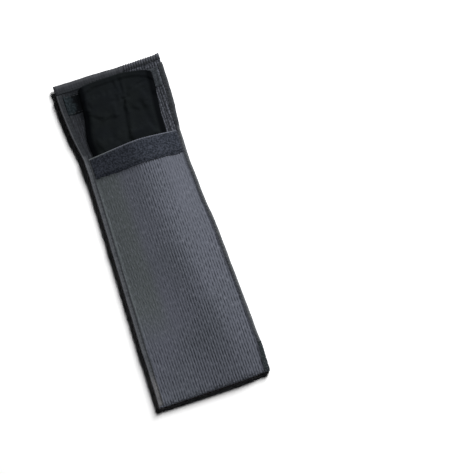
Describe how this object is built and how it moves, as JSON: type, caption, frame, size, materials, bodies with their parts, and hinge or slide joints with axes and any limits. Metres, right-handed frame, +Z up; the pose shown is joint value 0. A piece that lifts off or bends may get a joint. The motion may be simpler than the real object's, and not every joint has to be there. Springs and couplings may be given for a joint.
{
  "type": "insulin pen cooling pouch",
  "caption": "Soft sewn pouch that keeps an insulin pen cool: arched cloth sleeve with taped edges, fold-over flap with hook and loop, and a slide-out wallet of water-holding crystals.",
  "frame": {"origin": "middle of the bounding box, on the surface that the pouch lies on", "axes": "X across the pouch, Y from the folded bottom to the end of the open flap, Z up from the back panel to the front panel"},
  "size_m": [0.08, 0.239, 0.0146],
  "materials": {
    "cover_cloth": "fine lengthwise rib knit, matt dark grey",
    "edge_tape": "grosgrain tape, matt dark grey",
    "loop_strip": "brushed loop pile, dark grey",
    "hook_strip": "woven tape with moulded hooks, near black",
    "wallet_cloth": "fine plain weave, black",
    "wallet_lining": "fine plain weave, black",
    "crystals": "loose dry grains, off-white"
  },
  "bodies": {
    "sleeve": {"sleeve_cloth": "cover_cloth", "loop_strip": "loop_strip", "sleeve_tape_left": "edge_tape", "sleeve_tape_right": "edge_tape"},
    "flap": {"flap_cloth": "cover_cloth", "hook_strip": "hook_strip", "flap_tape_left": "edge_tape", "flap_tape_right": "edge_tape", "flap_tape_end": "edge_tape"},
    "wallet": {"wallet_back_cover": "wallet_cloth", "wallet_back_lining": "wallet_lining", "wallet_front_cover": "wallet_cloth", "wallet_front_lining": "wallet_lining", "wallet_back_crystals_left": "crystals", "wallet_back_crystals_right": "crystals", "wallet_front_crystals_left": "crystals", "wallet_front_crystals_right": "crystals", "pocket_tape": "wallet_cloth"},
    "tail": {"tail_cover": "wallet_cloth", "tail_lining": "wallet_lining", "tail_crystals_left": "crystals", "tail_crystals_right": "crystals"}
  },
  "joints": [
    {"name": "flap_fold", "type": "hinge", "parent": "sleeve", "child": "flap", "pos_m": [0, 0.079, 0.00985], "axis": [1, 0, 0], "range_deg": [0, 180]},
    {"name": "wallet_slide", "type": "slide", "parent": "sleeve", "child": "wallet", "axis": [0, 1, 0], "range_m": [0, 0.2]},
    {"name": "tail_fold", "type": "hinge", "parent": "wallet", "child": "tail", "pos_m": [0, 0.079, 0.00985], "axis": [1, 0, 0], "range_deg": [0, 180]}
  ],
  "couplings": [
    {"joint": "tail_fold", "follows": "flap_fold", "ratio": 1}
  ]
}
